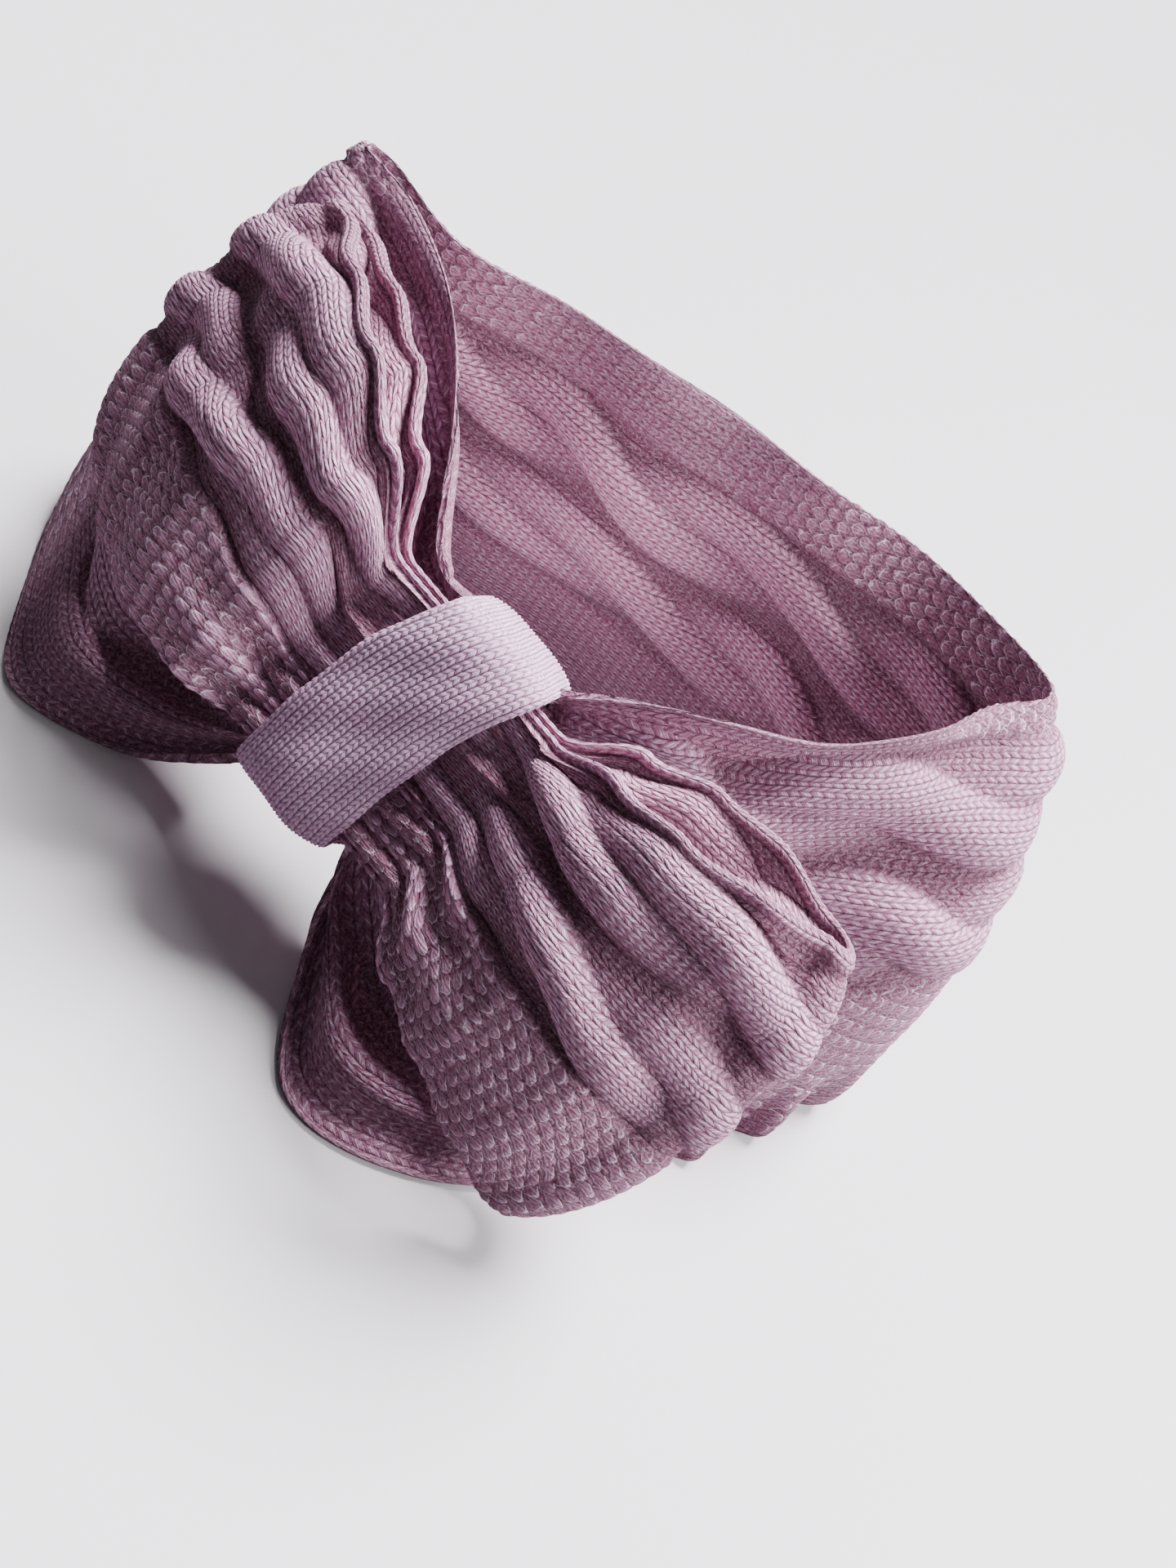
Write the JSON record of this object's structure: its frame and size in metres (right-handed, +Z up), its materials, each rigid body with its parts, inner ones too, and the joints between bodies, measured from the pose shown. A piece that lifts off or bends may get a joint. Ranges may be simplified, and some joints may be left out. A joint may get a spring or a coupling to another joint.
{
  "type": "headband",
  "caption": "Wide knitted spa headband: a soft ring with a two-loop bow in front, pinched together by a narrow knitted wrap.",
  "frame": {"origin": "middle of the base of the whole part, on the surface it stands on", "axes": "+X along the bow, to the right seen from the front; -Y towards the bow; +Z up through the head opening"},
  "size_m": [0.2558, 0.1694, 0.1119],
  "materials": {
    "pink_knit": "soft rib and cable knit in blush pink yarn with pale filaments",
    "fine_pink_knit": "fine smooth knit in lilac pink yarn",
    "sewing_thread": "matt polyester thread, colour matched to the knit"
  },
  "bodies": {
    "band": {"headband_band": "pink_knit", "band_join_seam": "sewing_thread", "bow_gathered_middle": "pink_knit", "bow_join_seam": "sewing_thread", "centre_wrap": "fine_pink_knit", "wrap_join_seam": "sewing_thread", "tack_stitch_lower_left": "sewing_thread", "tack_stitch_lower_right": "sewing_thread", "tack_stitch_upper_left": "sewing_thread", "tack_stitch_upper_right": "sewing_thread"},
    "left_loop": {"bow_loop_left": "pink_knit"},
    "right_loop": {"bow_loop_right": "pink_knit"}
  },
  "joints": [
    {"name": "bow_loop_left_lift", "type": "hinge", "parent": "band", "child": "left_loop", "pos_m": [-0.0332, -0.03019, 0.06141], "axis": [0.1564, 0.5805, 0.7991], "range_deg": [0, 30], "stiffness_Nm_per_rad": 0.02},
    {"name": "bow_loop_right_lift", "type": "hinge", "parent": "band", "child": "right_loop", "pos_m": [0.01174, -0.03438, 0.05565], "axis": [-0.1564, -0.5805, -0.7991], "range_deg": [0, 30], "stiffness_Nm_per_rad": 0.02}
  ]
}
